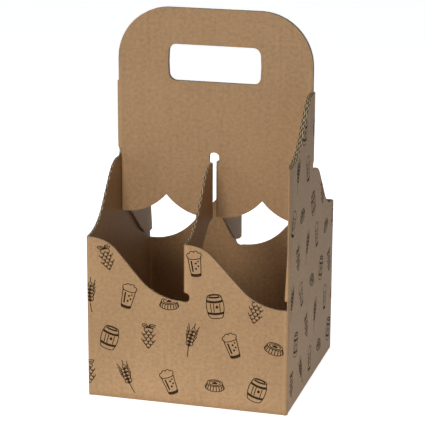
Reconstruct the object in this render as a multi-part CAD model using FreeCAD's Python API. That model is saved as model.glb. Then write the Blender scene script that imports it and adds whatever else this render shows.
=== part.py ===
# Four-bottle carrier folded and glued from one sheet of corrugated board.
# Millimetres. Origin at the centre of the base, +Z up, front wall at -Y.
# Half of it is drawn; the other half is that half turned 180 degrees about Z.
import math
import os

import FreeCAD, Part

V = FreeCAD.Vector

# Overall sizes
body_width = 130.0      # across X, outside the side walls
body_depth = 130.0      # across Y, outside the front and back walls

# Board
board = 1.6             # thickness of one layer
fold_in = 0.8           # inside radius of a fold

# Heights
low_level = 68.5        # foot of the front wall's steps
step_drop = 36.5        # fall of every S-shaped edge from one level to the next
tall_rise = 49.5        # tall side panels above the highest step
tall_drop = 34.0        # fall of the tall side panels towards their outer edge
handle_rise = 49.0      # handle panel above the tall side panels

# S-shaped edges
s_top_radius = 22.0
s_foot_radius = 36.0
corner_lead = 4.0       # level run beside a corner
step_lead = 1.0         # level run beside a step or a fold

# Relief holes at the ends of the upright folds
edge_relief_radius = 3.2
corner_relief_radius = 0.9
handle_relief_radius = 3.5
relief_sink = 0.4       # how far each hole reaches below the level edge it ends at

# Middle of the carrier
divider_gap = 0.8       # slit between the two dividers

# Handle panel
handle_inset = 1.6      # from the outside of the side walls
handle_radius = 34.0    # top corners
grip_length = 60.0
grip_height = 23.4
grip_radius = 5.0
grip_drop = 34.8        # from the top edge to the hand hole's middle

# Base
flap_taper = 6.0        # narrowing of each inner flap, per side
seam_gap = 0.8          # where two opposite flaps meet

half_x = body_width / 2
half_y = body_depth / 2
fold_out = fold_in + board
mid_level = low_level + step_drop
high_level = mid_level + step_drop
tall_level = high_level + tall_rise
handle_top = tall_level + handle_rise
edge_foot = low_level + 2 * edge_relief_radius - relief_sink    # where dividers and inner flaps begin
divider_x = -divider_gap / 2 - board    # left face of the front divider


def on_front(y0):
    """Plane facing the front: (u, z) lies at y = y0."""
    return lambda u, z: V(u, y0, z)


def on_side(x0):
    """Plane facing sideways: (u, z) lies at x = x0, u along Y."""
    return lambda u, z: V(x0, u, z)


def on_level(z0):
    """Level plane: (u, w) lies at z = z0."""
    return lambda u, w: V(u, w, z0)


def path(at, *points):
    """Straight edges through the points."""
    return [Part.makeLine(at(*a), at(*b)) for a, b in zip(points, points[1:])]


def arc(at, centre, radius, start, end):
    """Arc about centre between two angles in degrees, with its two end points."""
    ends = []
    for angle in (start, (start + end) / 2, end):
        a = math.radians(angle)
        ends.append((centre[0] + radius * math.cos(a), centre[1] + radius * math.sin(a)))
    return Part.Arc(*[at(*p) for p in ends]).toShape(), ends[0], ends[2]


def s_edge(at, high, low):
    """S-shaped edge that leaves the point high level and reaches the point low level.

    Two arcs with a straight slope between them. Where the run is too short for their
    radii, both shrink until the slope is gone."""
    way = math.copysign(1, low[0] - high[0])
    run, drop = abs(low[0] - high[0]), high[1] - low[1]
    longest = (run * run + drop * drop) / (2 * drop)
    fit = min(1, longest / (s_top_radius + s_foot_radius))
    top_r, foot_r = s_top_radius * fit, s_foot_radius * fit
    both_r = top_r + foot_r
    turn = math.degrees(math.atan2(drop - both_r, run)
                        + math.asin(min(1, both_r / math.hypot(run, drop - both_r))))
    side = 90 - way * turn
    top, _, top_end = arc(at, (high[0], high[1] - top_r), top_r, 90, side)
    foot, _, foot_end = arc(at, (low[0], low[1] + foot_r), foot_r, 270, side + 180)
    if math.dist(top_end, foot_end) < 1e-3:
        return [top, foot]
    return [top, foot] + path(at, top_end, foot_end)


def sheet(edges, thickness):
    """Closed outline given a thickness along the vector."""
    return Part.Face(Part.Wire(Part.__sortEdges__(edges))).extrude(thickness)


def block(x0, x1, y0, y1, z0, z1):
    return Part.makeBox(x1 - x0, y1 - y0, z1 - z0, V(x0, y0, z0))


def pin(centre, direction, radius, length):
    return Part.makeCylinder(radius, length, centre, direction)


def fold(corner, sx, sy, z0, z1):
    """Upright fold whose outside corner stands at corner; the board turns towards (sx, sy)."""
    cx, cy = corner[0] + sx * fold_out, corner[1] + sy * fold_out
    ring = pin(V(cx, cy, z0), V(0, 0, 1), fold_out, z1 - z0).cut(
        pin(V(cx, cy, z0), V(0, 0, 1), fold_in, z1 - z0))
    xs, ys = sorted((corner[0], cx)), sorted((corner[1], cy))
    return ring.common(block(xs[0], xs[1], ys[0], ys[1], z0, z1))


def join(shapes):
    whole = shapes[0]
    for shape in shapes[1:]:
        whole = whole.fuse(shape)
    return whole


def tray():
    """Outer walls at full height with the outer base flaps, upright and lower folds rounded."""
    def rounded(inset, radius, top):
        box = block(inset - half_x, half_x - inset, inset - half_y, half_y - inset, inset, top)
        edges = [e for e in box.Edges if e.BoundBox.ZMax < top]
        uprights = [e for e in box.Edges if e.BoundBox.ZLength > top / 2]
        return box.makeFillet(radius, edges + uprights)
    seam = block(-half_x + fold_out, half_x - fold_out, -seam_gap / 2, seam_gap / 2, 0, board)
    return rounded(0, fold_out, tall_level).cut(
        rounded(board, fold_in, tall_level + board)).cut(seam)


def front_outline():
    """Everything below the top edge of the front wall: left half, then the step, then right half."""
    at = on_front(-half_y)
    step = divider_x + fold_out
    left = (corner_lead - half_x, mid_level), (divider_x - step_lead, low_level)
    right = (step + step_lead, mid_level), (half_x - corner_lead, low_level)
    edges = s_edge(at, *left) + s_edge(at, *right)
    edges += path(at, left[0], (-half_x, mid_level), (-half_x, 0), (half_x, 0), (half_x, low_level),
                  right[1])
    edges += path(at, left[1], (step, low_level), (step, mid_level), right[0])
    return sheet(edges, V(0, fold_out, 0))


def tall_top(at):
    """Top edge of a tall side panel, falling towards the front, from the handle to the free edge."""
    high = -fold_out - step_lead, tall_level
    low = corner_lead - half_y, tall_level - tall_drop
    return s_edge(at, high, low) + path(at, low, (board - half_y, low[1])), high


def side_outline():
    """Everything below the top edge of the right wall: tall front half, lower back half."""
    at = on_side(half_x - fold_out)
    edges, high = tall_top(at)
    back = (step_lead + board, high_level), (half_y - corner_lead, mid_level)
    edges += s_edge(at, *back)
    edges += path(at, (board - half_y, tall_level - tall_drop), (board - half_y, low_level),
                  (fold_out - half_y, low_level), (fold_out - half_y, 0), (half_y - fold_out, 0),
                  (half_y - fold_out, mid_level), back[1])
    edges += path(at, high, (-board, tall_level), (-board, high_level), back[0])
    return sheet(edges, V(fold_out, 0, 0))


def inner_flap():
    """Second layer lying inside the tall panel."""
    at = on_side(half_x - 2 * board)
    edges, high = tall_top(at)
    foot = (-fold_out - step_lead, mid_level), (corner_lead - half_y, edge_foot)
    edges += s_edge(at, *foot)
    edges += path(at, (board - half_y, tall_level - tall_drop), (board - half_y, edge_foot), foot[1])
    edges += path(at, foot[0], (-fold_out, mid_level), (-fold_out, tall_level), high)
    return sheet(edges, V(board, 0, 0))


def doubled_edge():
    """Free front edge of the tall panel, where the sheet turns back on itself."""
    top = tall_level - tall_drop
    centre = V(half_x - board, board - half_y, edge_foot)
    round_end = pin(centre, V(0, 0, 1), board, top - edge_foot)
    return round_end.common(block(centre.x - board, half_x, -half_y, centre.y, edge_foot, top))


def tall_corner():
    """Where the tall panel and its inner flap turn into the two layers of the handle panel."""
    inner = half_x - 2 * board - fold_in
    layer = fold((half_x - board, 0), -1, -1, mid_level, high_level)
    at = on_level(high_level)
    outside, out_a, out_b = arc(at, (half_x - fold_out, board - fold_out), fold_out, 0, 90)
    inside, in_a, in_b = arc(at, (inner, -fold_out), fold_in, 0, 90)
    edges = [outside, inside]
    edges += path(at, in_a, (half_x, -fold_out), out_a)
    edges += path(at, out_b, (inner, board), in_b)
    return layer.fuse(sheet(edges, V(0, 0, tall_level - high_level)))


def handle_layer():
    """Front layer of the handle panel, with the S-shaped lower edges of its two halves."""
    at = on_front(-board)
    side = half_x - handle_inset
    left_end = fold_out - half_x
    right_end = half_x - board - fold_out
    fold_end = divider_x + board - fold_out
    left = (left_end + step_lead, high_level), (fold_end - step_lead, mid_level)
    right = (step_lead, high_level), (right_end - step_lead, mid_level)
    a, a0, a1 = arc(at, (side - handle_radius, handle_top - handle_radius), handle_radius, 0, 90)
    b, b0, b1 = arc(at, (handle_radius - side, handle_top - handle_radius), handle_radius, 90, 180)
    edges = s_edge(at, *left) + s_edge(at, *right) + [a, b]
    edges += path(at, left[1], (fold_end, mid_level), (fold_end, high_level), right[0])
    edges += path(at, right[1], (right_end, mid_level), (right_end, tall_level), (side, tall_level), a0)
    edges += path(at, a1, b0)
    edges += path(at, b1, (-side, tall_level), (left_end, tall_level), (left_end, high_level), left[0])
    return sheet(edges, V(0, board, 0))


def divider():
    """Strap from the step in the front wall back to the handle panel."""
    at = on_side(divider_x)
    front = fold_out - half_y
    back = -fold_out
    edges = []
    for rear_level, front_level in ((high_level, mid_level), (mid_level, edge_foot)):
        high, low = (back - step_lead, rear_level), (front + step_lead, front_level)
        edges += s_edge(at, high, low) + path(at, high, (back, rear_level))
        edges += path(at, low, (front, front_level))
    edges += path(at, (back, high_level), (back, mid_level))
    edges += path(at, (front, mid_level), (front, edge_foot))
    return join([sheet(edges, V(board, 0, 0)),
                 fold((divider_x, -half_y), 1, 1, edge_foot, mid_level),
                 fold((divider_x + board, 0), -1, -1, mid_level, high_level)])


def base_flap():
    """Inner base flap, from the right wall."""
    at = on_level(board)
    root, tip = half_x - board, seam_gap / 2
    y0 = half_y - board - fold_in
    edges = path(at, (root, -y0), (root, y0), (tip, y0 - flap_taper), (tip, flap_taper - y0),
                 (root, -y0))
    return sheet(edges, V(0, 0, board))


def reliefs():
    """Round holes that end the upright folds."""
    r, small = edge_relief_radius, corner_relief_radius
    deep = 2 * board + fold_out
    z_low, z_high = low_level + r - relief_sink, high_level + r - relief_sink
    return [
        pin(V(divider_x + fold_in, -half_y - board, z_low), V(0, 1, 0), r, deep),
        pin(V(half_x - 2 * board - fold_in, fold_out + small - half_y, edge_foot), V(1, 0, 0), small, deep),
        pin(V(half_x - board, board / 2, z_high), V(1, 0, 0), r, deep),
        pin(V(half_x - board, 0, z_high), V(0, 1, 0), r, fold_out),
    ]


def grip():
    x, z, middle = grip_length / 2, grip_height / 2, handle_top - grip_drop
    hole = block(-x, x, -2 * board, 2 * board, middle - z, middle + z)
    corners = [e for e in hole.Edges if e.BoundBox.YLength > board]
    return hole.makeFillet(grip_radius, corners)


def both(shape):
    """The shape and its copy turned half a turn about Z."""
    turned = shape.copy()
    turned.rotate(V(0, 0, 0), V(0, 0, 1), 180)
    return [shape, turned]


inside = block(fold_out - half_x, half_x - fold_out, fold_out - half_y, half_y - fold_out, 0, fold_out)
walls = tray().common(join(both(front_outline()) + both(side_outline()) + [inside]))
upper = join([inner_flap(), doubled_edge(), tall_corner(), handle_layer(), divider(), base_flap()])
centre_hole = pin(V(0, -2 * board, high_level + handle_relief_radius - relief_sink), V(0, 1, 0),
                  handle_relief_radius, 4 * board)
carrier = join([walls] + both(upper))
for relief in reliefs():
    for cutter in both(relief):
        carrier = carrier.cut(cutter)
for cutter in (grip(), centre_hole):
    carrier = carrier.cut(cutter)
carrier, = carrier.removeSplitter().Solids

os.makedirs("parts", exist_ok=True)
carrier.exportStep("parts/carrier.step")
b = carrier.BoundBox
print("solids", len(carrier.Solids), "valid", carrier.isValid(), "faces", len(carrier.Faces))
print("size", b.XLength, b.YLength, b.ZLength, "from z", b.ZMin, "volume cm3", carrier.Volume / 1000)
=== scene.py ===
"""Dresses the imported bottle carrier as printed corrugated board: two liners over a fluted medium.

The board is worked out in the blank's own two directions. Along runs across the flutes, round the folds,
and height runs with the flutes. A plan line turns along into a place, so every panel, fold and flap is one
grid of points, and a ply is that grid given two depths. Metres throughout."""
import math
from collections import namedtuple
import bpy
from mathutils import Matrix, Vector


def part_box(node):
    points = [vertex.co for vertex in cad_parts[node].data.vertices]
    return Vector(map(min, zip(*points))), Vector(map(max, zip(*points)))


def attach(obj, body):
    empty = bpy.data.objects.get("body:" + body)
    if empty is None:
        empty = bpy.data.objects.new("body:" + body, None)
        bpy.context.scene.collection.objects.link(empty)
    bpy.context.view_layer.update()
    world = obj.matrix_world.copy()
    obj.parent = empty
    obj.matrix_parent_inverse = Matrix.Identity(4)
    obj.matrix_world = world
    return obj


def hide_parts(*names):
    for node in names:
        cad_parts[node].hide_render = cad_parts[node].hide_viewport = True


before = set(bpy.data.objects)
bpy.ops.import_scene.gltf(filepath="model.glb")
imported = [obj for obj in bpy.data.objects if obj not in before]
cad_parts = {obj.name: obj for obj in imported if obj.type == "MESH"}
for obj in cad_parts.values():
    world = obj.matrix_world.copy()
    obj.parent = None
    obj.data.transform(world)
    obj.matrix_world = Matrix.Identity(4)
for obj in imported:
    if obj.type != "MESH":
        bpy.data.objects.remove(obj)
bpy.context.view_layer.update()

from types import SimpleNamespace

import bpy
import numpy as np
from mathutils import Matrix, Vector

bl_info = {
    "name": "Bottle carrier board",
    "version": (1, 0, 0),
    "blender": (4, 5, 0),
    "location": "3D View > Sidebar > Carrier",
    "description": "Builds the plies, print and stage of a folded bottle carrier",
    "category": "Object",
}

NODE = "carrier"
BODY = "root"
HALF_X, HALF_Y, TOP = (float(v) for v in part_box(NODE)[1])
MM = 0.001
FLUTE_POINTS = 12    # columns of points in one flute
TIGHT = 3 * MM    # a turn of a smaller radius crushes the flutes
BEVEL = 0.15 * MM    # width of the slope between two levels of a cut edge
EDGE_SLIT = 0.1 * MM    # between the free edge and the lip below it, where the small hole begins
POST_FOOT = 0.5 * MM    # lower end of the walls' rounded corners
CLIMB, CLIMB_RADIUS = 11, 6 * MM    # an inner base flap's way onto the outer one: degrees, bends
BEND_ROWS, MITRE_ROWS, MITRE_ROOM = 5, 9, 2 * MM    # a base flap's rows, to just past its mitre
DOUBLED = 2.3    # reach of a doubled wall from its outside, in thicknesses of board
PRESS_FOOT = 6 * MM    # height over which the press fades in above a free edge's foot
INSIDE_ROOM = 0.02 * MM    # depth kept free inside the inner liner
FOLD_STRIP, PRINT_ROOM = 3 * MM, 2 * MM    # unprinted beside the front step and above the base's folds
DRIFT = ((0.6, 23 * MM, 0), (0.35, 9.7 * MM, 1))    # sines in the flutes' phase: size, length, start
# The faces towards the flutes take the painted shade material.
FACE, RIM, HIDDEN = 0, 1, 2    # a ply's materials: where it shows, at cut edges, towards the flutes
SAME_PLACE, NORMAL_STEPS = 2e-6, 200    # points are one in the same cell of these grids
ROUNDING, ASIDE = 1e-9, 1e-6    # error of a computed length, and safely to one side of a break
FLOOR_REACH = 3.0    # half the floor's side
SENSOR = 36.0    # width of the camera's sensor, millimetres


def setting(kind, **fixed):
    """Function that declares a property of one kind from its name, default and description."""
    def declare(name, default, description):
        return kind(name=name, description=description, default=default, **fixed)
    return declare


lens = setting(bpy.props.FloatProperty, min=1.0, subtype="DISTANCE_CAMERA", unit="CAMERA")
integer = setting(bpy.props.IntProperty, min=1)
angle = setting(bpy.props.FloatProperty, subtype="ANGLE")
power = setting(bpy.props.FloatProperty, subtype="POWER")
length = setting(bpy.props.FloatProperty, min=0.0, precision=5, subtype="DISTANCE", unit="LENGTH")
share = setting(bpy.props.FloatProperty, min=0.0, precision=3, subtype="FACTOR")
colour = setting(bpy.props.FloatVectorProperty, size=3, min=0.0, max=1.0, subtype="COLOR")


class CarrierBoard(bpy.types.PropertyGroup):
    """The board itself."""
    thickness: length("Thickness", 1.6 * MM, "One layer of board")
    fold_inside: length("Fold inside", 0.8 * MM, "Inside radius of a fold")
    liner: length("Liner", 0.2 * MM, "Thickness of each liner")
    medium: length("Medium", 0.34 * MM, "Thickness of the fluted medium")
    pitch: length("Flute pitch", 3.5 * MM, "From one flute to the next")
    washboard: length("Washboard", 0.018 * MM, "How far the liners follow the flutes")
    ink_room: length("Ink room", 0.05 * MM, "Depth kept free outside the printed liner")
    pinch: share("Pinch", 0.10, "Share of its thickness that the board loses at a fold")
    crush_reach: length("Crush reach", 1.5 * MM, "How far the flutes are flattened beside a fold")
    base_inside: length("Base fold inside", 0.2 * MM, "Inside radius of the folds round the base")
    press: share("Press", 0.62, "Share of its thickness that a doubled wall loses at its free edge")
    press_reach: length("Press reach", 9 * MM, "How far that fades out from the free edge")
    press_depth: length("Press depth", 0.7 * MM, "Depth in the doubled wall that stays in place")


class CarrierCuts(bpy.types.PropertyGroup):
    """The die-cut outline."""
    low_level: length("Low level", 68.5 * MM, "Foot of the front wall's steps")
    step_drop: length("Step drop", 36.5 * MM, "Fall of each S-shaped edge")
    tall_level: length("Tall level", 191 * MM, "Top of the tall side panels")
    tall_drop: length("Tall drop", 34 * MM, "Fall of the tall panels towards the free edge")
    top_radius: length("Top radius", 22 * MM, "Upper bend of an S-shaped edge")
    foot_radius: length("Foot radius", 36 * MM, "Lower bend of an S-shaped edge")
    corner_lead: length("Corner lead", 4 * MM, "Level run beside a corner")
    step_lead: length("Step lead", 1 * MM, "Level run beside a step")
    relief: length("Relief hole", 3.2 * MM, "Radius of the holes that end the folds")
    corner_relief: length("Corner relief hole", 0.9 * MM, "Radius of the hole at a free edge's foot")
    edge_lip: length("Edge lip", 0.84 * MM, "Part of a corner that stands below a free edge")
    centre_relief: length("Centre relief hole", 3.5 * MM, "Radius of the hole in the handle panel")
    relief_sink: length("Relief sink", 0.4 * MM, "Depth of each hole below its level edge")
    divider_gap: length("Divider gap", 0.8 * MM, "Slit between the two dividers")
    handle_inset: length("Handle inset", 1.6 * MM, "Handle panel inside the side walls")
    handle_radius: length("Handle radius", 34 * MM, "Top corners of the handle panel")
    grip_length: length("Grip length", 60 * MM, "Hand hole, across")
    grip_height: length("Grip height", 23.4 * MM, "Hand hole, upright")
    grip_radius: length("Grip radius", 5 * MM, "Corners of the hand hole")
    grip_drop: length("Grip drop", 34.8 * MM, "From the top edge to the hand hole's middle")
    flap_taper: length("Flap taper", 6 * MM, "Narrowing of each inner base flap, per side")
    flap_mitre: length("Flap mitre", 10.5 * MM, "Corner cut off each base flap, per side")
    seam_gap: length("Seam gap", 0.8 * MM, "Between two base flaps that meet")


class CarrierPrint(bpy.types.PropertyGroup):
    """The printed line drawings."""
    line: length("Line", 0.54 * MM, "Width of a drawn line")
    proud: length("Proud", 0.035 * MM, "Height of the ink above the liner")
    point_gap: length("Point gap", 0.6 * MM, "Between two points of a drawn line")
    columns: integer("Columns", 19, "Motifs round the carrier")
    rows: integer("Rows", 8, "Motifs up the walls")
    row_gap: length("Row gap", 26 * MM, "From one row of motifs to the next")
    first_row: share("First row", 0.62, "Height of the lowest row, in row gaps")
    shift: length("Shift", 2.2 * MM, "Largest shift of a motif out of its row and column")
    tilt: angle("Tilt", math.radians(24), "Largest turn of a motif")
    seed: integer("Seed", 11, "Start of the scatter")
    ink: colour("Ink", (0.026, 0.014, 0.006), "Colour of the print")


class CarrierFinish(bpy.types.PropertyGroup):
    """Colours of the board, with painted shade inside the flutes and on the liners' cut edges, and a
    painted highlight on the medium's cut edge.
    """
    kraft: colour("Kraft", (0.470, 0.297, 0.157), "Liner")
    fibre: colour("Fibre", (0.250, 0.150, 0.074), "Dark fibres in the liner")
    # Pale torn fibres, brightened beyond the paper as a painted highlight on the flute crests.
    raw: colour("Cut edge", (0.950, 0.800, 0.560), "Torn fibres of the cut medium")
    # Painted shade: the liner's cut edge is darker than its kraft so that the hollows between the flutes
    # read dark.
    edge: colour("Liner edge", (0.360, 0.230, 0.115), "Cut edge of a liner")
    # Painted shade: the paper inside the flutes is near black so that the channels read dark, as shade
    # would make them.
    flute: colour("Flute paper", (0.030, 0.017, 0.008), "Paper inside the flutes")


class CarrierStage(bpy.types.PropertyGroup):
    """Camera, lamps and floor."""
    azimuth: angle("Azimuth", math.radians(15.531), "Camera to the right of the front")
    elevation: angle("Elevation", math.radians(15.742), "Camera above the horizon")
    roll: angle("Roll", math.radians(0.217), "Camera about its line of sight")
    distance: length("Distance", 1.1638, "Camera to the point that it looks at")
    aim_height: length("Aim height", 109.5 * MM, "Height of the point that it looks at")
    aim_forward: length("Aim forward", 4.7 * MM, "That point in front of the carrier's middle")
    focal_length: lens("Focal length", 153.92, "Lens, millimetres")
    key_power: power("Key", 1.86, "Main lamp")
    side_power: power("Side", 0.023, "Low lamp on the right")
    bounce_power: power("Bounce", 0.011, "Lamp on the floor in front")
    rear_power: power("Rear", 1.2, "Lamp behind on the left")
    overhead_power: power("Overhead", 2.7, "Lamp above")
    key_colour: colour("Key colour", (1.0, 0.93, 0.84), "Main lamp")
    side_colour: colour("Side colour", (1.0, 0.98, 0.92), "Low lamp on the right")
    cool_colour: colour("Cool colour", (0.92, 0.96, 1.0), "The other lamps")
    fill: colour("Fill", (0.107, 0.115, 0.127), "Light of the surroundings")
    paper: colour("Paper", (0.86, 0.86, 0.86), "Floor")
    glow: share("Glow", 0.87, "Own light of the floor where it is seen")


def sizes():
    """The settings for the board and its outline, by name, with the sizes that follow from them.

    A fold has the middle radius mid_r, the outer radius out_r and the length quarter, and the folds
    round the base have the middle radius base_r and begin at the level foot. flat_x and flat_y are half
    of each wall's flat run, dividers and inner flaps begin at the level edge_foot, divider_x is a
    divider's outer face, and spacing lies between two columns of points."""
    z = SimpleNamespace(half_x=HALF_X, half_y=HALF_Y, top=TOP)
    for name in ("carrier_board", "carrier_cuts"):
        group = getattr(bpy.context.scene, name)
        vars(z).update({key: getattr(group, key) for key in SETTINGS[name].__annotations__})
    z.mid_r = z.fold_inside + z.thickness / 2
    z.out_r = z.fold_inside + z.thickness
    z.quarter = math.pi / 2 * z.mid_r
    z.base_r = z.base_inside + z.thickness / 2
    z.foot = z.base_r + z.thickness / 2
    z.flat_x, z.flat_y = z.half_x - z.out_r, z.half_y - z.out_r
    z.mid_level = z.low_level + z.step_drop
    z.high_level = z.mid_level + z.step_drop
    z.edge_foot = z.low_level + 2 * z.relief - z.relief_sink
    z.divider_x = -z.divider_gap / 2 - z.thickness
    z.spacing = z.pitch / FLUTE_POINTS
    return z


class PlanLine:
    """Plan line of a panel: straight runs and round turns, followed by the length along it."""

    def __init__(self, start, heading):
        self.pieces, self.end = [], 0.0
        self.point, self.heading = np.array(start, float), math.radians(heading)

    def straight(self, run):
        return self._add(run, 0.0)

    def turn(self, radius, degrees):
        """Positive degrees turn left. The run is the angle times the radius."""
        return self._add(abs(math.radians(degrees)) * radius, math.copysign(1 / radius, degrees))

    def _add(self, run, bend):
        self.pieces.append((self.end, *self.point, self.heading, bend))
        self.end += run
        place, _ = self.at(np.array([self.end]), 1)
        self.point, self.heading = place[0], self.heading + run * bend
        return self

    def at(self, along, side):
        """Points and unit normals at the lengths given; side 1 is left of the line and -1 right.

        On a straight run the point moves by the length times the heading. On a turn of bend k it
        moves by (sin(h + kd) - sin h, cos h - cos(h + kd)) / k, which is the chord of the circle."""
        table = np.array(self.pieces)
        piece = np.clip(np.searchsorted(table[:, 0], along, side="right") - 1, 0, len(table) - 1)
        start, x, y, heading, bend = table[piece].T
        run = along - start
        turned = heading + run * bend
        safe = np.where(bend == 0, 1, bend)
        dx = np.where(bend == 0, run * np.cos(heading), (np.sin(turned) - np.sin(heading)) / safe)
        dy = np.where(bend == 0, run * np.sin(heading), (np.cos(heading) - np.cos(turned)) / safe)
        normal = side * np.stack([-np.sin(turned), np.cos(turned)], 1)
        return np.stack([x + dx, y + dy], 1), normal

    def crush(self, along, reach):
        """1 within a tight turn, falling to 0 as a smooth step over reach on both sides of it."""
        ends = [p[0] for p in self.pieces[1:]] + [self.end]
        away = np.full(along.shape, np.inf)
        for (start, _, _, _, bend), stop in zip(self.pieces, ends):
            if abs(bend) > 1 / TIGHT:
                away = np.minimum(away, np.maximum(np.maximum(start - along, along - stop), 0))
        return faded(away, reach)


def faded(away, reach):
    """1 at distance 0 and 0 from reach on: 1 - t t (3 - 2 t), with t the share of reach."""
    t = np.clip(away / reach, 0, 1)
    return 1 - t * t * (3 - 2 * t)


def s_curve(z, x, high, low):
    """Heights of an S-shaped edge at x, between a high and a low point.

    A circle of the top radius bends down from the high point, a straight slope follows, and a circle
    of the foot radius levels out at the low point. With R the sum of the radii, the slope's angle is
    atan2(drop - R, run) + asin(R / hypot(run, drop - R))."""
    run, drop = abs(low[0] - high[0]), high[1] - low[1]
    fit = min(1, (run * run + drop * drop) / (2 * drop) / (z.top_radius + z.foot_radius))
    top_r, foot_r = z.top_radius * fit, z.foot_radius * fit
    both = top_r + foot_r
    turn = math.atan2(drop - both, run) + math.asin(min(1, both / math.hypot(run, drop - both)))
    d = np.clip((x - high[0]) * math.copysign(1, low[0] - high[0]), 0, run)
    bent, levelled = top_r * math.sin(turn), run - foot_r * math.sin(turn)
    upper = high[1] - top_r + np.sqrt(top_r ** 2 - np.minimum(d, bent) ** 2)
    lower = low[1] + foot_r - np.sqrt(foot_r ** 2 - np.minimum(run - d, run - levelled) ** 2)
    slope = high[1] - top_r * (1 - math.cos(turn)) - (d - bent) * math.tan(turn)
    return np.select([d <= bent, d < levelled], [upper, slope], lower)


Hole = namedtuple("Hole", "middle level radius")


def rims(hole, x):
    """Lower and upper rim of a round hole at x: its level less and more sqrt(radius2 - distance2)."""
    half = np.sqrt(np.maximum(hole.radius ** 2 - (x - hole.middle) ** 2, 0))
    return hole.level - half, hole.level + half


def dipped(top, hole, x):
    """Top edge lowered to the lower rim of a hole that opens in it."""
    return np.where(np.abs(x - hole.middle) < hole.radius, np.minimum(top, rims(hole, x)[0]), top)


def samples(step, *stops):
    """Lengths from the first stop to the last, evenly spaced between neighbours and on each stop."""
    stops = sorted(set(stops))
    runs = [np.linspace(a, b, max(2, math.ceil((b - a) / step) + 1)) for a, b in zip(stops, stops[1:])]
    return np.concatenate([runs[0]] + [run[1:] for run in runs[1:]])


def between(values, low, high):
    """The values from low to high, both included."""
    return values[(values >= low - ROUNDING) & (values <= high + ROUNDING)]


Patch = namedtuple("Patch", "place normal along height crush skip")


def upright(z, line, side, along, rows, offset, skip=()):
    """Patch of upright board. rows are heights at each length, stacked from the bottom up and never
    falling. The cells above the rows in skip are left open."""
    crush = line.crush(along, z.crush_reach)
    rows = np.maximum.accumulate(np.minimum(np.stack(np.broadcast_arrays(*rows)), rows[-1]), axis=0)
    place, normal = line.at(along, side)
    count = len(rows)
    return Patch(np.dstack([np.tile(place, (count, 1, 1)), rows]),
                 np.dstack([np.tile(normal, (count, 1, 1)), np.zeros_like(rows)]),
                 np.tile(offset, (count, 1)), rows, np.tile(crush, (count, 1)), skip)


def creased(z, patch, hand, folds):
    """The patch with a crease at each fold's length, above its height for hand 1, below it for -1."""
    reach = z.crush_reach
    creases = [faded(np.abs(patch.along - fold), reach) * faded(hand * (end - patch.height), reach)
               for fold, end in folds]
    return patch._replace(crush=np.maximum.reduce([patch.crush, *creases]))


def flap(line, side, run, wide, along, bottom, folded, turned):
    """Base flap: a wall's lower end carried along an upright plan line, under or into the carrier.

    run holds lengths along that line and wide the places along the wall at each of them. bottom is the
    level at which the line starts, and turned swaps the axes for a side wall."""
    place, normal = line.at(run, side)
    zero = np.zeros_like(wide)
    first, second = place[:, :1] + zero, place[:, 1:] + zero
    n_first, n_second = normal[:, :1] + zero, normal[:, 1:] + zero
    position, facing = (wide, first, second), (zero, n_first, n_second)
    if turned:
        position, facing = (first, wide, second), (n_first, zero, n_second)
    return Patch(np.dstack(position), np.dstack(facing), np.tile(along, (len(run), 1)),
                 bottom - run[:, None] + zero, folded, ())


def wall_line(z):
    """Front and right wall, with the corner at the end of each: half of the ring of walls."""
    return (PlanLine((-z.flat_x, -z.half_y + z.thickness / 2), 0).straight(2 * z.flat_x)
            .turn(z.mid_r, 90).straight(2 * z.flat_y).turn(z.mid_r, 90))


def walls_plan(z):
    """Lengths along the half ring of walls at which something starts, its holes and its columns."""
    near = z.step_lead
    w = SimpleNamespace(line=wall_line(z), corner=2 * z.flat_x, step=z.flat_x + z.divider_x + z.out_r)
    w.side_start = w.corner + z.quarter
    middle = w.side_start + z.flat_y
    w.rear = middle - z.fold_inside
    w.rear_corner = w.side_start + 2 * z.flat_y
    above = z.relief - z.relief_sink
    w.step_hole = Hole(w.step - z.quarter / 2, z.low_level + above, z.relief)
    w.edge_hole = Hole(w.side_start + z.corner_relief, z.edge_foot, z.corner_relief)
    w.rear_hole = Hole(w.rear + z.quarter / 2, z.high_level + above, z.relief)
    w.holes = w.step_hole, w.edge_hole, w.rear_hole
    w.lip = w.side_start - z.edge_lip
    lead = z.corner_lead - z.out_r
    stops = [0, lead, z.flat_x + z.divider_x - near, w.step, w.step + near, w.corner - lead, w.corner,
             w.corner + BEVEL, w.lip - BEVEL, w.lip, w.side_start - BEVEL, w.side_start,
             w.side_start + lead, middle - z.out_r - near, w.rear, middle + z.thickness + near,
             w.rear_corner - lead, w.rear_corner, w.rear_corner + BEVEL, w.line.end - BEVEL, w.line.end]
    stops += [hole.middle + side * hole.radius for hole in w.holes for side in (-1, 0, 1)]
    w.along = samples(z.spacing, *stops)
    return w


def wall_tops(z, w, s):
    """Top of the printed walls at lengths s of the half ring, without the holes."""
    near, lead = z.step_lead, z.corner_lead
    x, y = s - z.flat_x, s - w.side_start - z.flat_y
    low, mid = z.low_level, z.mid_level
    front_left = s_curve(z, x, (lead - z.half_x, mid), (z.divider_x - near, low))
    front_right = s_curve(z, x, (z.divider_x + z.out_r + near, mid), (z.half_x - lead, low))
    rear = s_curve(z, y, (z.thickness + near, z.high_level), (z.half_y - lead, mid))
    return np.select([s < w.step, s < w.side_start, s < w.rear],
                     [front_left, front_right, tall_edge(z, y)], rear)


def tall_edge(z, y):
    """Top edge of a tall panel at y."""
    return s_curve(z, y, (-z.out_r - z.step_lead, z.tall_level),
                   (z.corner_lead - z.half_y, z.tall_level - z.tall_drop))


def strap_edge(z, y, rear_level, front_level, front_end):
    """Edge of a divider or inner flap at y, from the handle panel down to its front end."""
    return s_curve(z, y, (-z.out_r - z.step_lead, rear_level), (front_end - z.half_y, front_level))


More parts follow.
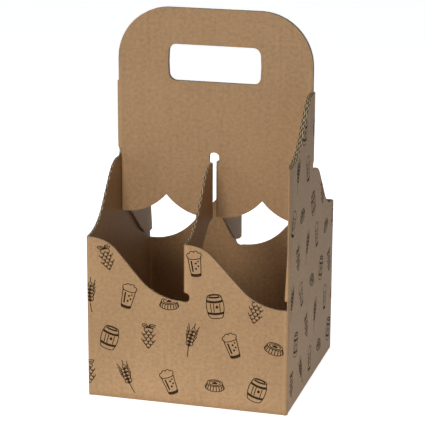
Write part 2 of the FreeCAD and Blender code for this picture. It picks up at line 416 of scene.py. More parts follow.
def wall_patches(z, w):
    """Front and right wall. They are creased where a fold leaves them, above its relief hole."""
    def panel(start, end, rows, skip=()):
        s = between(w.along, start, end)
        posts = ((s > w.corner + ASIDE) & (s < w.side_start - ASIDE)) | (s > w.rear_corner + ASIDE)
        bottom = np.where(posts & (s < w.line.end - ASIDE), POST_FOOT, z.foot)
        return creased(z, upright(z, w.line, -1, s, rows(s, bottom), s, skip), 1,
                       ((w.step, w.step_hole.level), (w.rear, w.rear_hole.level)))

    def front_left(s, bottom):
        top = dipped(wall_tops(z, w, np.minimum(s, w.step - ASIDE)), w.step_hole, s)
        return bottom, z.edge_foot, top

    def front_right(s, bottom):
        lip = s > w.lip - ASIDE
        lower, upper = (np.where(lip, z.edge_foot, rim) for rim in rims(w.step_hole, s))
        top = np.where(s >= w.corner, z.low_level, wall_tops(z, w, s))
        return bottom, lower, upper, np.where(lip, z.edge_foot, top)

    def tall(s, bottom):
        lower, upper = rims(w.edge_hole, s)
        upper = upper + np.where(s > w.side_start + ROUNDING, 0, EDGE_SLIT)
        top = tall_edge(z, s - w.side_start - z.flat_y)
        return bottom, lower, upper, z.mid_level, *rims(w.rear_hole, s), top

    def rear(s, bottom):
        top = dipped(wall_tops(z, w, np.maximum(s, w.rear + ASIDE)), w.rear_hole, s)
        return bottom, z.edge_foot, z.mid_level, top

    return [panel(0, w.step, front_left), panel(w.step, w.side_start, front_right, (1,)),
            panel(w.side_start, w.rear, tall, (1, 4)), panel(w.rear, w.line.end, rear)]


def flap_patches(z, w):
    """Outer flap under the front wall and inner flap from the right wall, both up to the seam.

    The inner flap starts on the floor and climbs onto the outer flap. Climbing by a height needs two
    turns of a radius by an angle a and a straight run of (height - 2 radius (1 - cos a)) / sin a."""
    board, reach = z.thickness, z.crush_reach
    climb = math.radians(CLIMB)
    slope = (board - 2 * CLIMB_RADIUS * (1 - math.cos(climb))) / math.sin(climb)
    bend = math.pi / 2 * z.base_r
    mitred = bend + z.flap_mitre
    patches = []
    for start, end, half, outside, turned in (
            (0.0, w.corner, z.flat_x, z.half_y - board / 2, False),
            (w.side_start, w.rear_corner, z.flat_y, z.half_x - board / 2, True)):
        hand, side, taper = (-1, 1, z.flap_taper) if turned else (1, -1, 0)
        line = PlanLine((-hand * outside, z.foot), -90).turn(z.base_r, hand * 90)
        if turned:
            line.turn(CLIMB_RADIUS, -CLIMB).straight(slope).turn(CLIMB_RADIUS, CLIMB)
        line.straight(abs(line.point[0]) - z.seam_gap / 2)
        run = np.concatenate([samples(bend / BEND_ROWS, 0, bend),
                              np.linspace(bend, mitred + MITRE_ROOM, MITRE_ROWS)[1:], [line.end]])
        narrow = half - z.flap_mitre
        widths = np.interp(run, (0, bend, mitred, line.end), (half, half, narrow, narrow - taper))
        along = between(w.along, start, end)
        wide = (along - start - half)[None, :] * (widths / half)[:, None]
        folded = np.maximum(line.crush(run, reach)[:, None], w.line.crush(along, reach)[None, :])
        patches.append(flap(line, side, run, wide, along, z.foot, folded, turned))
    return patches


def divider_patch(z, w):
    """Divider strap: folded inwards from the front step and sideways into the handle panel."""
    line = (PlanLine((z.divider_x + z.out_r, z.thickness / 2 - z.half_y), 180)
            .turn(z.mid_r, -90).straight(z.flat_y - z.out_r).turn(z.mid_r, 90))
    d = samples(z.spacing, 0, z.quarter / 2, z.quarter, line.end - z.quarter, line.end)
    y = np.clip(d - z.quarter - z.flat_y, -z.flat_y, -z.out_r)
    front_end = z.out_r + z.step_lead
    hole = w.step_hole._replace(middle=z.quarter / 2)
    lower = np.where(d < z.quarter / 2, rims(hole, d)[1],
                     strap_edge(z, y, z.mid_level, z.edge_foot, front_end))
    upper = strap_edge(z, y, z.high_level, z.mid_level, front_end)
    return upright(z, line, 1, d, (lower, upper), w.step - d)


def tall_fold_patch(z, w):
    """Tall panel turned back on itself at its free edge, with its inner flap folded to the handle."""
    board = z.thickness
    lead, deep = z.out_r - board, z.half_y - board
    line = (PlanLine((z.half_x - board / 2, -z.flat_y), -90).straight(lead).turn(board / 2, -180)
            .straight(deep - z.out_r).turn(z.mid_r, 90))
    back = lead + math.pi / 2 * board
    d = samples(z.spacing, 0, lead, back, line.end - z.quarter, line.end,
                *(back + deep - z.flat_y + z.corner_relief * k for k in (0, 1, 2)))
    y = np.where(d <= lead, -z.flat_y - d, np.clip(d - back - deep, -deep, -z.out_r))
    hole = w.edge_hole._replace(middle=z.corner_relief - z.flat_y)
    lower = np.maximum(strap_edge(z, y, z.mid_level, z.edge_foot, z.corner_lead),
                       rims(hole, y)[1] + np.where(d > 0, 0, EDGE_SLIT))
    part, rear_hole = d / line.end, w.rear_hole.level
    centre_hole = z.high_level + z.centre_relief - z.relief_sink
    rows = (lower, z.mid_level, rear_hole + (z.high_level - rear_hole) * part,
            rear_hole + (centre_hole - rear_hole) * part, tall_edge(z, y))
    return upright(z, line, 1, d, rows, w.side_start - d)


def tall_corner_patch(z, w):
    """Fold from the tall panel into the rear layer of the handle panel."""
    line = PlanLine((z.half_x - z.thickness / 2, -z.fold_inside), 90).turn(z.mid_r, 90)
    d = samples(z.spacing, 0, line.end / 2, line.end)
    rows = rims(w.rear_hole, w.rear + d)[1], z.tall_level
    return upright(z, line, -1, d, rows, w.rear + d)


def handle_patches(z):
    """Front layer of the handle panel with the hand hole and the centre hole.

    The upper edge of the hand hole, for one, is at its middle level plus its half height less its corner
    radius r plus sqrt(r2 - d2), with d the distance past the start of the corner. The creases end where
    the folds do: at the top of the tall panels and at the centre hole."""
    board, near = z.thickness, z.step_lead
    side = z.half_x - z.handle_inset
    left, right = z.out_r - z.half_x, z.half_x - board - z.out_r
    offset = z.divider_gap - left
    fold_end = z.divider_x + board - z.out_r
    line = PlanLine((side, -board / 2), 180).straight(2 * side)
    above = z.high_level - z.relief_sink
    centre_hole = Hole(0, above + z.centre_relief, z.centre_relief)
    notch_hole = Hole(left - z.quarter / 2, above + z.relief, z.relief)
    notch = notch_hole.middle + z.relief
    middle, half_grip = z.top - z.grip_drop, z.grip_length / 2
    xs = samples(z.spacing, -side, left, left + near, notch, fold_end - near, fold_end,
                 -z.centre_relief, z.centre_relief, near, right - near, right, side,
                 -half_grip, z.grip_radius - half_grip, half_grip - z.grip_radius, half_grip,
                 z.handle_radius - side, side - z.handle_radius)

    def top(x):
        corner = np.clip(np.abs(x) - (side - z.handle_radius), 0, z.handle_radius)
        return z.top - z.handle_radius + np.sqrt(z.handle_radius ** 2 - corner ** 2)

    def grip(x):
        corner = np.clip(np.abs(x) - (half_grip - z.grip_radius), 0, z.grip_radius)
        rise = (z.grip_height / 2 - z.grip_radius
                + np.sqrt(z.grip_radius ** 2 - corner ** 2)) * (np.abs(x) <= half_grip + ROUNDING)
        return middle - rise, middle + rise

    def patch(x, lower_rows, skip):
        rows = *lower_rows, z.tall_level, *grip(x), top(x)
        return creased(z, upright(z, line, 1, side - x, rows, x + offset, skip), -1,
                       ((left + offset, z.tall_level), (right + offset, z.tall_level),
                        (fold_end + offset, centre_hole.level - z.crush_reach)))

    def half(start, end, hole, high, low):
        x = between(xs, start, end)
        lower = np.where(x < hole.middle + hole.radius, rims(hole, x)[1],
                         s_curve(z, x, (high, z.high_level), (low, z.mid_level)))
        return patch(x, (lower, z.high_level, *rims(centre_hole, x)), (2, 5))

    return [half(left, fold_end, notch_hole, left + near, fold_end - near),
            half(fold_end, right, centre_hole, near, right - near),
            patch(between(xs, -side, left), (), (1,)), patch(between(xs, right, side), (), (1,))]


def both_halves(patches):
    """The patches and their copies turned half a turn: x and y change sign."""
    half_turn = np.array([-1.0, -1.0, 1.0])
    return patches + [p._replace(place=p.place * half_turn, normal=p.normal * half_turn)
                      for p in patches]


Sheet = namedtuple("Sheet", "place normal along height crush corners vertex")


def join(patches):
    """All patches as one sheet of triangles that face the printed side.

    Points of neighbouring patches at the same place with the same normal become one vertex; corners
    keep each patch's own point, so that a pattern doesn't run together at a fold."""
    corners, first = [], 0
    for p in patches:
        rows, columns = p.along.shape
        index = first + np.arange(rows * columns).reshape(rows, columns)
        keep = np.array([r for r in range(rows - 1) if r not in p.skip])
        a, b = index[keep, :-1].ravel(), index[keep, 1:].ravel()
        c, d = index[keep + 1, 1:].ravel(), index[keep + 1, :-1].ravel()
        corners += [np.stack([a, b, c], 1), np.stack([a, c, d], 1)]
        first += rows * columns
    place, normal = (np.concatenate([getattr(p, name).reshape(-1, 3) for p in patches])
                     for name in ("place", "normal"))
    flat = [np.concatenate([getattr(p, name).ravel() for p in patches])
            for name in ("along", "height", "crush")]
    corners = np.concatenate(corners)
    key = np.round(np.hstack([place / SAME_PLACE, normal * NORMAL_STEPS])).astype(np.int64)
    _, chosen, vertex = np.unique(key, axis=0, return_index=True, return_inverse=True)
    vertex = chosen[vertex.ravel()]
    t = vertex[corners]
    distinct = (t[:, 0] != t[:, 1]) & (t[:, 1] != t[:, 2]) & (t[:, 2] != t[:, 0])
    corners, t = corners[distinct], t[distinct]
    facing = np.cross(place[t[:, 1]] - place[t[:, 0]], place[t[:, 2]] - place[t[:, 0]])
    backward = (facing * normal[t[:, 0]]).sum(1) < 0
    corners[backward] = corners[backward][:, ::-1]
    return Sheet(place, normal, *flat, corners, vertex)


def ply(name, z, sheet, inner, outer, hidden):
    """Closed shell of a sheet between two depths along its normals, as a mesh object.

    An edge that only one triangle has is a cut edge, and gets a strip from one side to the other.
    hidden says which sides face the flutes, 0 for the outer and 1 for the inner side."""
    used, local = np.unique(sheet.vertex[sheet.corners], return_inverse=True)
    local, count = local.reshape(sheet.corners.shape), len(used)
    points = [sheet.place[used] + sheet.normal[used] * depth[used, None] for depth in (outer, inner)]
    pairs, raw = (np.concatenate([index[:, [0, 1]], index[:, [1, 2]], index[:, [2, 0]]])
                  for index in (local, sheet.corners))
    lone = ~np.isin(pairs[:, 0] * count + pairs[:, 1], pairs[:, 1] * count + pairs[:, 0])
    (a, b), (ra, rb) = pairs[lone].T, raw[lone].T
    strip = np.concatenate([np.stack([b, a, a + count], 1), np.stack([b, a + count, b + count], 1)])
    strip_raw = np.concatenate([np.stack([rb, ra, ra], 1), np.stack([rb, ra, rb], 1)])
    faces = np.concatenate([local, local[:, ::-1] + count, strip])
    source = np.concatenate([sheet.corners, sheet.corners[:, ::-1], strip_raw]).ravel()
    mesh = bpy.data.meshes.new(name)
    mesh.from_pydata(pressed(z, np.concatenate(points)), [], faces)
    folded = mesh.attributes.new("folded", "FLOAT", "POINT")
    folded.data.foreach_set("value", np.tile(sheet.crush[used], 2).astype(np.float32))
    pattern = np.stack([sheet.along[source], sheet.height[source]], 1).astype(np.float32)
    mesh.uv_layers.new(name="blank").data.foreach_set("uv", pattern.ravel())
    surface = np.full(len(faces), RIM, np.int32)
    for side in (0, 1):
        surface[side * len(local):(side + 1) * len(local)] = HIDDEN if side in hidden else FACE
    mesh.polygons.foreach_set("material_index", surface)
    return finish_mesh(mesh)


def placed(name, data):
    """Object of some data, in the scene."""
    thing = bpy.data.objects.new(name, data)
    bpy.context.scene.collection.objects.link(thing)
    return thing


def finish_mesh(mesh, sharp=35):
    """Object of a mesh, smooth except at edges that turn by more than sharp degrees."""
    mesh.shade_smooth()
    mesh.set_sharp_from_angle(angle=math.radians(sharp))
    return placed(mesh.name, mesh)


def flutes(z, along):
    """Wave of the flutes, 1 at the outer liner and -1 at the inner one.

    It is the cosine of 2 pi along / pitch plus slow sines, which make the pitch uneven."""
    turn = 2 * math.pi * along
    return np.cos(turn / z.pitch + sum(size * np.sin(turn / far + start) for size, far, start in DRIFT))


def depth_of_liner(z, along, crush, level):
    """Depth of a liner's surface: its level, pinched at folds, with a ripple over the flutes."""
    ripple = z.washboard * (np.sign(level) * flutes(z, along) - 1) * (1 - crush)
    return level * (1 - z.pinch * crush) + np.sign(level) * ripple


def pressed(z, points):
    """Points with the doubled walls drawn together towards their free edge.

    The distance from a plane inside the wall shrinks by a share that fades with the distance from the
    free edge, and also fades in above the edge's foot."""
    x, y, high = points.T
    plane = np.sign(x) * (z.half_x - z.press_depth)
    shrink = z.press * faded(z.half_y - np.abs(y), z.press_reach)
    shrink *= 1 - faded(np.maximum(high - z.edge_foot, 0), PRESS_FOOT)
    doubled = (x * y < 0) & (np.abs(x) > z.half_x - DOUBLED * z.thickness)
    return np.column_stack([plane + (x - plane) * (1 - np.where(doubled, shrink, 0)), y, high])


def belongs(piece):
    """Ties a piece to the carrier's body and hides the plain solid that it stands in for."""
    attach(piece, BODY)
    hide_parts(NODE)


# --- shader expressions -------------------------------------------------------------------------------

class Value:
    """A shader socket in an expression: each operator adds the Math node of its name."""

    def __init__(self, graph, socket):
        self.graph, self.socket = graph, socket

    def math(self, operation, other):
        return self.graph.node("ShaderNodeMath", {"operation": operation}, {0: self, 1: other})

    def __add__(self, other):
        return self.math("ADD", other)

    def __mul__(self, other):
        return self.math("MULTIPLY", other)

    def __sub__(self, other):
        return self.math("SUBTRACT", other)

    def __rsub__(self, other):
        return self * -1 + other

    __radd__, __rmul__ = __add__, __mul__

    def clipped(self, start, end):
        """0 up to start and 1 from end on, with a straight ramp between; end may also lie below start."""
        return self.graph.node("ShaderNodeMapRange", {"clamp": True}, {0: self, 1: start, 2: end})


class Graph:
    """Node tree of a material or of the world."""

    def __init__(self, owner):
        owner.use_nodes = True
        self.owner, self.tree = owner, owner.node_tree
        self.tree.nodes.clear()

    def node(self, kind, settings=None, inputs=None, output=0):
        """Adds a node, gives it its settings and then its inputs, and returns one output."""
        made = self.tree.nodes.new(kind)
        for name, value in (settings or {}).items():
            setattr(made, name, value)
        for key, value in (inputs or {}).items():
            if isinstance(value, Value):
                self.tree.links.new(value.socket, made.inputs[key])
            else:
                made.inputs[key].default_value = value
        return Value(self, made.outputs[output]) if made.outputs else None

    def part(self, vector, axis):
        return self.node("ShaderNodeSeparateXYZ", None, {0: vector}, axis)

    def vector(self, x, y):
        return self.node("ShaderNodeCombineXYZ", None, {0: x, 1: y})

    def noise(self, vector, scale, detail, roughness=0.5):
        return self.node("ShaderNodeTexNoise", None,
                         {"Vector": vector, "Scale": scale, "Detail": detail, "Roughness": roughness})

    def mix(self, factor, a, b):
        return self.node("ShaderNodeMix", {"data_type": "RGBA"}, {0: factor, 6: a, 7: b}, 2)

    def show(self, shader, kind="Material"):
        """Ends the tree in its output and returns what the tree belongs to."""
        self.node("ShaderNodeOutput" + kind, None, {"Surface": shader})
        return self.owner

    def surface(self, **inputs):
        """Ends the tree in a Principled shader, whose inputs are named with _ for a space."""
        named = {name.replace("_", " "): value for name, value in inputs.items()}
        return self.show(self.node("ShaderNodeBsdfPrincipled", None, named))


def opaque(rgb, gain=1.0):
    """Colour for a socket, brightened by gain up to white."""
    return (*(min(1.0, c * gain) for c in rgb), 1.0)


def paper_material(name, base):
    """Kraft paper: cloudy formation, fibres across the flutes, dark and pale specks, pale folds of worn
    liner with a painted highlight.

    It is darker by the weighted sum of four noises about their middle and of the dark specks, and paler
    by the pale specks and at the folds. Scales are cells per metre, across and along the flutes."""
    fibre = opaque(bpy.context.scene.carrier_finish.fibre)
    g = Graph(bpy.data.materials.new(name))
    uv = g.node("ShaderNodeUVMap", {"uv_map": "blank"})
    s, t = g.part(uv, 0), g.part(uv, 1)
    clouds = g.noise(g.node("ShaderNodeTexCoord", None, None, "Object"), 30, 2)
    mottle = g.noise(g.vector(s * 420, t * 460), 1, 3, 0.6)
    fibres = g.noise(g.vector(s * 1300, t * 3600), 1, 3, 0.6)
    specks = g.noise(g.vector(s * 2100, t * 1900), 1, 1)
    streaks = g.noise(g.vector(s * 420, t * 14), 1, 2)
    weighted = (mottle, 1.3), (fibres, 0.9), (streaks, 0.3), (clouds, 0.4)
    dark = sum(((noise - 0.5) * weight for noise, weight in weighted), specks.clipped(0.62, 0.72) * 0.30)
    tone = g.mix((dark + 0.20).clipped(0, 1), opaque(base), fibre)
    folded = g.node("ShaderNodeAttribute", {"attribute_name": "folded"}, None, "Fac")
    # The pale specks are the paper's own; the paleness at the folds is worn liner, strengthened as a
    # painted highlight on the rounded folds.
    pale = specks.clipped(0.40, 0.24) * 0.35 + folded * mottle.clipped(0.35, 0.65) * 0.5
    tone = g.mix(pale, tone, opaque(base, 1.4))
    height = fibres * 0.45 + mottle * 0.35 + specks * 0.2
    bump = g.node("ShaderNodeBump", None, {"Strength": 0.2, "Distance": 0.15 * MM, "Height": height})
    return g.surface(Base_Color=tone, Roughness=0.62 + (fibres - 0.5) * 0.16, Normal=bump,
                     Specular_IOR_Level=0.3)


def ink_material():
    """Dark ink that lets a little of the paper's grain through."""
    ink = bpy.context.scene.carrier_print.ink
    g = Graph(bpy.data.materials.new("flexo_ink"))
    grain = g.noise(g.node("ShaderNodeTexCoord", None, None, "Object"), 1400, 2)
    tone = g.mix(grain.clipped(0.45, 0.75) * 0.35, opaque(ink), opaque(ink, 3.5))
    return g.surface(Base_Color=tone, Roughness=0.7 + grain * 0.2, Specular_IOR_Level=0.1)


# --- printed motifs, in millimetres about their own middle ---------------------------------------------

def oval(x, y, rx, ry=None, start=0, end=360):
    """Points of an ellipse between two angles, one for each 10 degrees: (x + rx cos a, y + ry sin a)."""
    ry = rx if ry is None else ry
    a = np.radians(np.linspace(start, end, max(8, int(abs(end - start) / 10))))
    return np.stack([x + rx * np.cos(a), y + ry * np.sin(a)], 1)


def wire(*points):
    return np.array(points, float)


def spun(points, a):
    """Points turned to the left about the origin by the angle a, in radians."""
    return points @ np.array([[math.cos(a), math.sin(a)], [-math.sin(a), math.cos(a)]])


def leaf(x, y, long, wide, degrees):
    """Pointed oval: its half width is wide sin(pi t) along t, turned by degrees."""
    t = np.linspace(0, 1, 12)
    side = np.stack([long * t, wide * np.sin(np.pi * t)], 1)
    return spun(np.concatenate([side, side[::-1] * (1, -1)]), math.radians(degrees)) + (x, y)


def hatched(x, y, rx, ry, gap=0.5):
    """Level lines that print as a solid ellipse: half widths rx sqrt(1 - (h / ry)2), but never 0."""
    levels = np.arange(-ry + gap / 2, ry, gap)
    halves = rx * np.sqrt(np.maximum(1 - (levels / ry) ** 2, 0.02))
    return [wire((x - half, y + level), (x + half, y + level)) for level, half in zip(levels, halves)]


def hop_cone():
    """Pointed bracts in staggered rows, two leaves and a stem.

    A bract's sides are at x = +-w (1 - t ** 1.7) while y falls by h t, so they meet in a point."""
    wide, high = 1.5, 2.05
    t = np.linspace(0, 1, 8)
    strokes = [wire((0, 5.4), (0.2, 7), (1.2, 8.4)), oval(0, 4.4, 3.0, 1.5, 0, 180)]
    for turn in (22, 158):
        strokes += [leaf(0, 5.9, 4.8, 1.2, turn), leaf(0, 5.9, 3.6, 0.1, turn)]
    for row, count in enumerate((2, 3, 2, 3, 2, 1)):
        top = 4.4 - high * row
        for k in range(count):
            middle = (2 * k + 1 - count) * wide
            half = wide * (1 - t ** 1.7)
            side = np.stack([half, top - high * t], 1)
            strokes.append(np.concatenate([side, (side * (-1, 1))[::-1]]) + (middle, 0))
            strokes.append(wire((middle, top - high), (middle, top - 0.35 * high)))
    return strokes


def barley_ear():
    """Paired grains up a bowed stem, with long beards."""
    t = np.linspace(-10.5, 6.5, 20)
    strokes = [np.stack([0.012 * t * t - 0.6, t], 1)]
    for y in (-3.4, -1.1, 1.2, 3.5):
        x = 0.012 * y * y - 0.6
        for turn, hand in ((58, 1), (122, -1)):
            strokes += [leaf(x, y, 3.7, 1.15, turn), leaf(x, y, 1.9, 0.1, turn)]
            strokes.append(wire((x + 2.0 * hand, y + 3.2), (x + 3.6 * hand, y + 7.5)))
    return strokes + [leaf(-0.1, 6, 3.6, 1.1, 90), leaf(-0.1, 6, 1.9, 0.1, 90),
                      wire((-0.1, 9.6), (0.1, 12.4))]


def barrel():
    """Bulged cask with two broad hoops, staves and a bung."""
    t = np.linspace(-1, 1, 16)
    strokes = [np.stack([s * (4.3 + 1.3 * (1 - t * t)), 6.6 * t], 1) for s in (-1, 1)]
    strokes += [oval(0, 6.6, 4.3, 1.2), oval(0, 6.6, 3.3, 0.7), oval(0, -6.6, 4.3, 1.2, 180, 360)]
    strokes += [oval(0, y, 4.3 + 1.3 * (1 - (y / 6.6) ** 2), 1.3, 182, 358)
                for y in (4.5, 4.05, 3.6, -3.1, -3.55, -4.0)]
    strokes += [wire((x, 1.9), (x * 0.96, -3.9)) for x in (-2.9, -1.0, 3.0)]
    return strokes + hatched(1.1, -0.4, 0.9, 0.9)


def crown_cap():
    """Crimped cap seen from above its rim: two ellipses, a flared skirt and its crimps."""
    a = np.linspace(np.pi, 2 * np.pi, 90)
    crimp = 0.55 * np.abs(np.sin(9 * a))
    skirt = np.stack([(6.1 + 0.5 * crimp) * np.cos(a), -0.9 + (2.7 + crimp) * np.sin(a)], 1)
    k = np.linspace(np.pi, 2 * np.pi, 10)
    strokes = [skirt, oval(0, 1.6, 5.0, 2.2), oval(0, 1.6, 3.7, 1.4)]
    strokes += [wire((6.1 * c, -0.9 + 2.7 * s), (5.1 * c, 1.3 + 2.1 * s))
                for c, s in zip(np.cos(k), np.sin(k))]
    return strokes + hatched(0, 1.6, 1.9, 0.65)


def tumbler():
    """Tapered glass with froth, a dark foot and bubbles."""
    strokes = [wire((-4.2, 5.2), (-3.1, -7)), wire((4.2, 5.2), (3.1, -7)), oval(0, -7, 3.1, 0.8, 180, 360)]
    strokes += [oval(x, y, r, r, start, end) for x, y, r, start, end in (
        (-3.2, 5.7, 1.5, 70, 250), (-1.3, 6.9, 1.5, 20, 160), (1.3, 7.0, 1.5, 10, 150),
        (3.3, 5.8, 1.4, -60, 110))]
    strokes += [oval(0, 4.2, 4.1, 1.0, 180, 360), wire((-2.4, 2.4), (-1.9, -4.6)),
                wire((-1.95, 2.3), (-1.5, -4.6))]
    strokes += [oval(0, y, 3.2, 0.8, 190, 350) for y in (-5.6, -6.0, -6.4)]
    bubbles = (0.6, 0.6, 0.5), (2.0, -1.2, 0.45), (0.4, -2.8, 0.5), (2.2, 1.7, 0.4)
    return strokes + [oval(x, y, r * part) for x, y, r in bubbles for part in (1, 1 / 3)]


MOTIFS = hop_cone, crown_cap, barley_ear, barrel, tumbler


def resampled(points, gap):
    """The line again with evenly spaced points, by straight interpolation on its length.

    Five points at least, so that the neighbours of a point on a small ring never coincide."""
    run = np.concatenate([[0], np.cumsum(np.hypot(*np.diff(points, axis=0).T))])
    even = np.linspace(0, run[-1], max(5, round(run[-1] / gap) + 1))
    return np.stack([np.interp(even, run, points[:, k]) for k in (0, 1)], 1)


def layout(ring):
    """Strokes of every motif on the unrolled walls: staggered rows, seeded turns and shifts."""
    settings = bpy.context.scene.carrier_print
    chance = np.random.default_rng(settings.seed)
    gap = ring / settings.columns
    for row in range(settings.rows):
        for column in range(settings.columns):
            motif = MOTIFS[(2 * column + 3 * row + row // 2) % len(MOTIFS)]
            shift_s, shift_z, turn = chance.uniform(-1, 1, 3)
            middle = np.array([(column + 0.5 * (row % 2)) * gap + settings.shift * shift_s,
                               (settings.first_row + row) * settings.row_gap + settings.shift * shift_z])
            for stroke in motif():
                yield spun(resampled(stroke * MM, settings.point_gap), settings.tilt * turn) + middle


def on_wall(z, w, s, height, proud):
    """Places on the printed liner of the whole ring: its second half is the first turned round."""
    along = np.mod(s, w.line.end)
    place, normal = w.line.at(along, -1)
    crush = w.line.crush(along, z.crush_reach)
    depth = depth_of_liner(z, along, crush, z.thickness / 2 - z.ink_room) + proud
    flip = np.where(np.floor(s / w.line.end) % 2 == 1, -1.0, 1.0)
    return np.column_stack([(place + normal * depth[:, None]) * flip[:, None], height])


def printable(z, w, s, height, margin):
    """Whether a place on the unrolled walls can take ink: below the top edges, above the folds round
    the base, clear of the holes, and beside the step and at the corner only below the low level."""
    along = np.mod(s, w.line.end)
    good = (height < wall_tops(z, w, along) - margin) & (height > z.out_r + PRINT_ROOM)
    for start, end in ((w.step - FOLD_STRIP, w.step), (w.corner, w.side_start)):
        good &= (along <= start) | (along >= end) | (height <= z.low_level - margin)
    for hole in w.holes:
        good &= np.hypot(along - hole.middle, height - hole.level) > hole.radius + margin
    return good


def print_mesh(z, w, name, strokes):
    """Ink strokes as closed strips: each is a box section carried along its line on the wall.

    The section's corners are half a line to each side and at two heights above the liner."""
    settings = bpy.context.scene.carrier_print
    low, high = -settings.proud / 2, settings.proud
    points, faces, first = [], [], 0
    for stroke in strokes:
        heading = np.gradient(stroke, axis=0)
        heading /= np.hypot(*heading.T)[:, None]
        aside = heading[:, ::-1] * (-1, 1) * settings.line / 2
        good = printable(z, w, *stroke.T, settings.line)
        section = np.stack([on_wall(z, w, *(stroke + side * aside).T, proud)
                            for side, proud in ((1, low), (1, high), (-1, high), (-1, low))], 1)
        breaks = np.flatnonzero(np.diff(np.concatenate([[0], good.astype(int), [0]])))
        for start, end in breaks.reshape(-1, 2):
            count = end - start
            if count < 2:
                continue
            points.append(section[start:end].reshape(-1, 3))
            ring = first + 4 * np.arange(count - 1)[:, None] + np.arange(4)[None, :]
            following = np.roll(ring, -1, axis=1)
            last = first + 4 * (count - 1)
            faces += [np.stack([ring, following, following + 4, ring + 4], 2).reshape(-1, 4),
                      np.array([[first + 3, first + 2, first + 1, first],
                                [last, last + 1, last + 2, last + 3]])]
            first += 4 * count
    mesh = bpy.data.meshes.new(name)
    mesh.from_pydata(pressed(z, np.concatenate(points)), [], np.concatenate(faces))
    return finish_mesh(mesh, sharp=40)


class CARRIER_OT_board(bpy.types.Operator):
    """Builds the two liners and the fluted medium"""
    bl_idname = "carrier.board"
    bl_label = "Build board"

    def execute(self, context):
        z = sizes()
        w, finish = walls_plan(z), context.scene.carrier_finish
        patches = [*wall_patches(z, w), *flap_patches(z, w), divider_patch(z, w),
                   tall_fold_patch(z, w), tall_corner_patch(z, w), *handle_patches(z)]
        sheet = join(both_halves(patches))
        face = z.thickness / 2
        outside, inside = face - z.ink_room, INSIDE_ROOM - face
        swing = (outside - inside) / 2 - z.liner - z.medium / 2
        wave = (outside + inside) / 2 + swing * flutes(z, sheet.along) * (1 - sheet.crush)
        outer, inner = (depth_of_liner(z, sheet.along, sheet.crush, level) for level in (outside, inside))
        kraft, flute, shaded_liner_rim, torn_and_highlight = (paper_material(name, base) for name, base in (
            ("kraft_liner", finish.kraft), ("flute_paper", finish.flute), ("liner_edge", finish.edge),
            ("torn_edge", finish.raw)))
        for name, low, high, hidden, rim in (
                ("outer_liner", outer - z.liner, outer, (1,), shaded_liner_rim),
                ("inner_liner", inner, inner + z.liner, (0,), shaded_liner_rim),
                ("fluted_medium", wave - z.medium / 2, wave + z.medium / 2, (0, 1), torn_and_highlight)):
            piece = ply(name, z, sheet, low, high, hidden)
            # Per ply: kraft where it shows; at cut edges painted shade on the liners and pale fibres with
            # a painted highlight on the medium; painted shade towards the flutes.
            for paper in (kraft, rim, flute):
                piece.data.materials.append(paper)
            belongs(piece)
        return {"FINISHED"}


class CARRIER_OT_print(bpy.types.Operator):
    """Prints the line drawings on the walls"""
    bl_idname = "carrier.print"
    bl_label = "Print walls"

    def execute(self, context):
        z = sizes()
        w = walls_plan(z)
        ring = 2 * w.line.end
        strokes = list(layout(ring))
        ink = ink_material()
        for wall, name in enumerate(("front", "right", "back", "left")):
            mine = [points for points in strokes
                    if np.mod(points[:, 0].mean(), ring) // (ring / 4) == wall]
            piece = print_mesh(z, w, "print_" + name, mine)
            piece.data.materials.append(ink)
            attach(piece, BODY)
        return {"FINISHED"}


class CARRIER_OT_stage(bpy.types.Operator):
    """Sets the floor, the surroundings, the lamps and the camera"""
    bl_idname = "carrier.stage"
    bl_label = "Set stage"

    def execute(self, context):
        stage = context.scene.carrier_stage
        floor_piece(stage)
        surroundings(stage)
        lamps(stage)
        camera(stage)
        context.scene.view_settings.view_transform = "Standard"
        return {"FINISHED"}


def seen_directly(graph):
    """1 for rays from the camera and for those that gloss and glass send."""
    camera_ray, glossy, through = (graph.node("ShaderNodeLightPath", None, None, name) for name in (
        "Is Camera Ray", "Is Glossy Ray", "Is Transmission Ray"))
    return (camera_ray + glossy + through).clipped(0, 1)


def floor_piece(stage):
    """Plain white floor, lifted towards white where it is seen, which leaves a soft shadow."""
    mesh = bpy.data.meshes.new("floor")
    mesh.from_pydata(FLOOR_REACH * np.array([(-1, -1, 0), (1, -1, 0), (1, 1, 0), (-1, 1, 0)]), [],
                     [(0, 1, 2, 3)])
    g = Graph(bpy.data.materials.new("white_paper"))
    paper = g.node("ShaderNodeBsdfDiffuse", None, {"Color": opaque(stage.paper)})
    glow = g.node("ShaderNodeEmission", None, {"Strength": seen_directly(g) * stage.glow})
    mesh.materials.append(g.show(g.node("ShaderNodeAddShader", None, {0: paper, 1: glow})))
    placed("floor", mesh)


def surroundings(stage):
    """White where it is seen, and a gentler white as light."""
    g = Graph(bpy.data.worlds.new("surroundings"))
    tone = g.mix(seen_directly(g), opaque(stage.fill), (1, 1, 1, 1))
    shader = g.node("ShaderNodeBackground", None, {"Color": tone, "Strength": 1.0})
    bpy.context.scene.world = g.show(shader, "World")


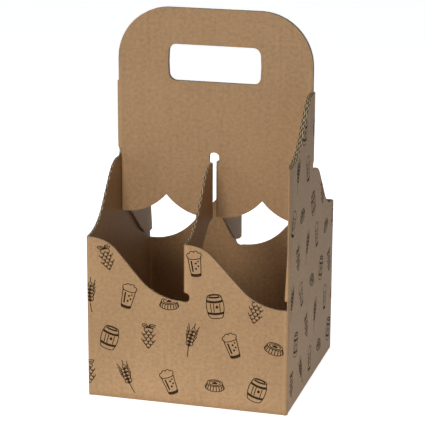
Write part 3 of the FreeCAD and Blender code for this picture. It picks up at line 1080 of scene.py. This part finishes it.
def lamps(stage):
    """A warm lamp in front on the left, a low one on the right, one on the floor before the front wall,
    which stands for light thrown back by the paper, one behind on the left, and a wide one above, which
    brightens the floor. Each has its place, the point that it faces and its width and height."""
    for name, tint, place, aim, size in (
            ("key", stage.key_colour, (-0.08, -0.60, 0.22), (0, 0, 0.08), (0.2, 0.2)),
            ("side", stage.side_colour, (0.20, -0.09, 0.03), (0.065, -0.02, 0.0), (0.07, 0.07)),
            ("bounce", stage.cool_colour, (0, -0.088, 0.0006), (0, -0.088, 1), (0.13, 0.04)),
            ("rear", stage.cool_colour, (-0.30, 0.55, 0.25), (0, 0, 0.09), (0.3, 0.3)),
            ("overhead", stage.cool_colour, (0, -0.1, 1.35), (0, -0.1, 0), (0.9, 0.9))):
        lamp = bpy.data.lights.new(name, "AREA")
        lamp.shape = "RECTANGLE"
        lamp.size, lamp.size_y = size
        lamp.energy, lamp.color = getattr(stage, name + "_power"), tint
        turn = (Vector(place) - Vector(aim)).to_track_quat("Z", "Y").to_matrix().to_4x4()
        placed(name, lamp).matrix_world = Matrix.Translation(place) @ turn


def camera(stage):
    """Camera on a sphere about the point it looks at, turned by roll about its line of sight."""
    data = bpy.data.cameras.new("camera")
    data.sensor_width, data.lens = SENSOR, stage.focal_length
    data.clip_start, data.clip_end = 0.05, 50
    a, e, r = stage.azimuth, stage.elevation, stage.roll
    back = Vector((math.sin(a) * math.cos(e), -math.cos(a) * math.cos(e), math.sin(e)))
    right = Vector((math.cos(a), math.sin(a), 0))
    up = back.cross(right)
    across, upward = right * math.cos(r) + up * math.sin(r), up * math.cos(r) - right * math.sin(r)
    aim = Vector((0, -stage.aim_forward, stage.aim_height))
    turn = Matrix((across, upward, back)).transposed().to_4x4()
    viewer = placed("camera", data)
    viewer.matrix_world = Matrix.Translation(aim + back * stage.distance) @ turn
    bpy.context.scene.camera = viewer


class CARRIER_PT_panel(bpy.types.Panel):
    """Lists the carrier's settings and steps"""
    bl_idname = "CARRIER_PT_panel"
    bl_label = "Bottle carrier"
    bl_space_type = "VIEW_3D"
    bl_region_type = "UI"
    bl_category = "Carrier"

    def draw(self, context):
        for name, group in SETTINGS.items():
            box = self.layout.box()
            for key in group.__annotations__:
                box.prop(getattr(context.scene, name), key)
            if name in STEPS:
                box.operator(STEPS[name].bl_idname)


SETTINGS = {"carrier_board": CarrierBoard, "carrier_cuts": CarrierCuts, "carrier_print": CarrierPrint,
            "carrier_finish": CarrierFinish, "carrier_stage": CarrierStage}
STEPS = {"carrier_board": CARRIER_OT_board, "carrier_print": CARRIER_OT_print,
         "carrier_stage": CARRIER_OT_stage}
CLASSES = (*SETTINGS.values(), *STEPS.values(), CARRIER_PT_panel)


def register():
    for item in CLASSES:
        bpy.utils.register_class(item)
    for name, group in SETTINGS.items():
        setattr(bpy.types.Scene, name, bpy.props.PointerProperty(type=group))


def unregister():
    for name in SETTINGS:
        delattr(bpy.types.Scene, name)
    for item in reversed(CLASSES):
        bpy.utils.unregister_class(item)


def main():
    register()
    bpy.ops.carrier.board()
    bpy.ops.carrier.print()
    bpy.ops.carrier.stage()


if __name__ == "__main__":
    main()
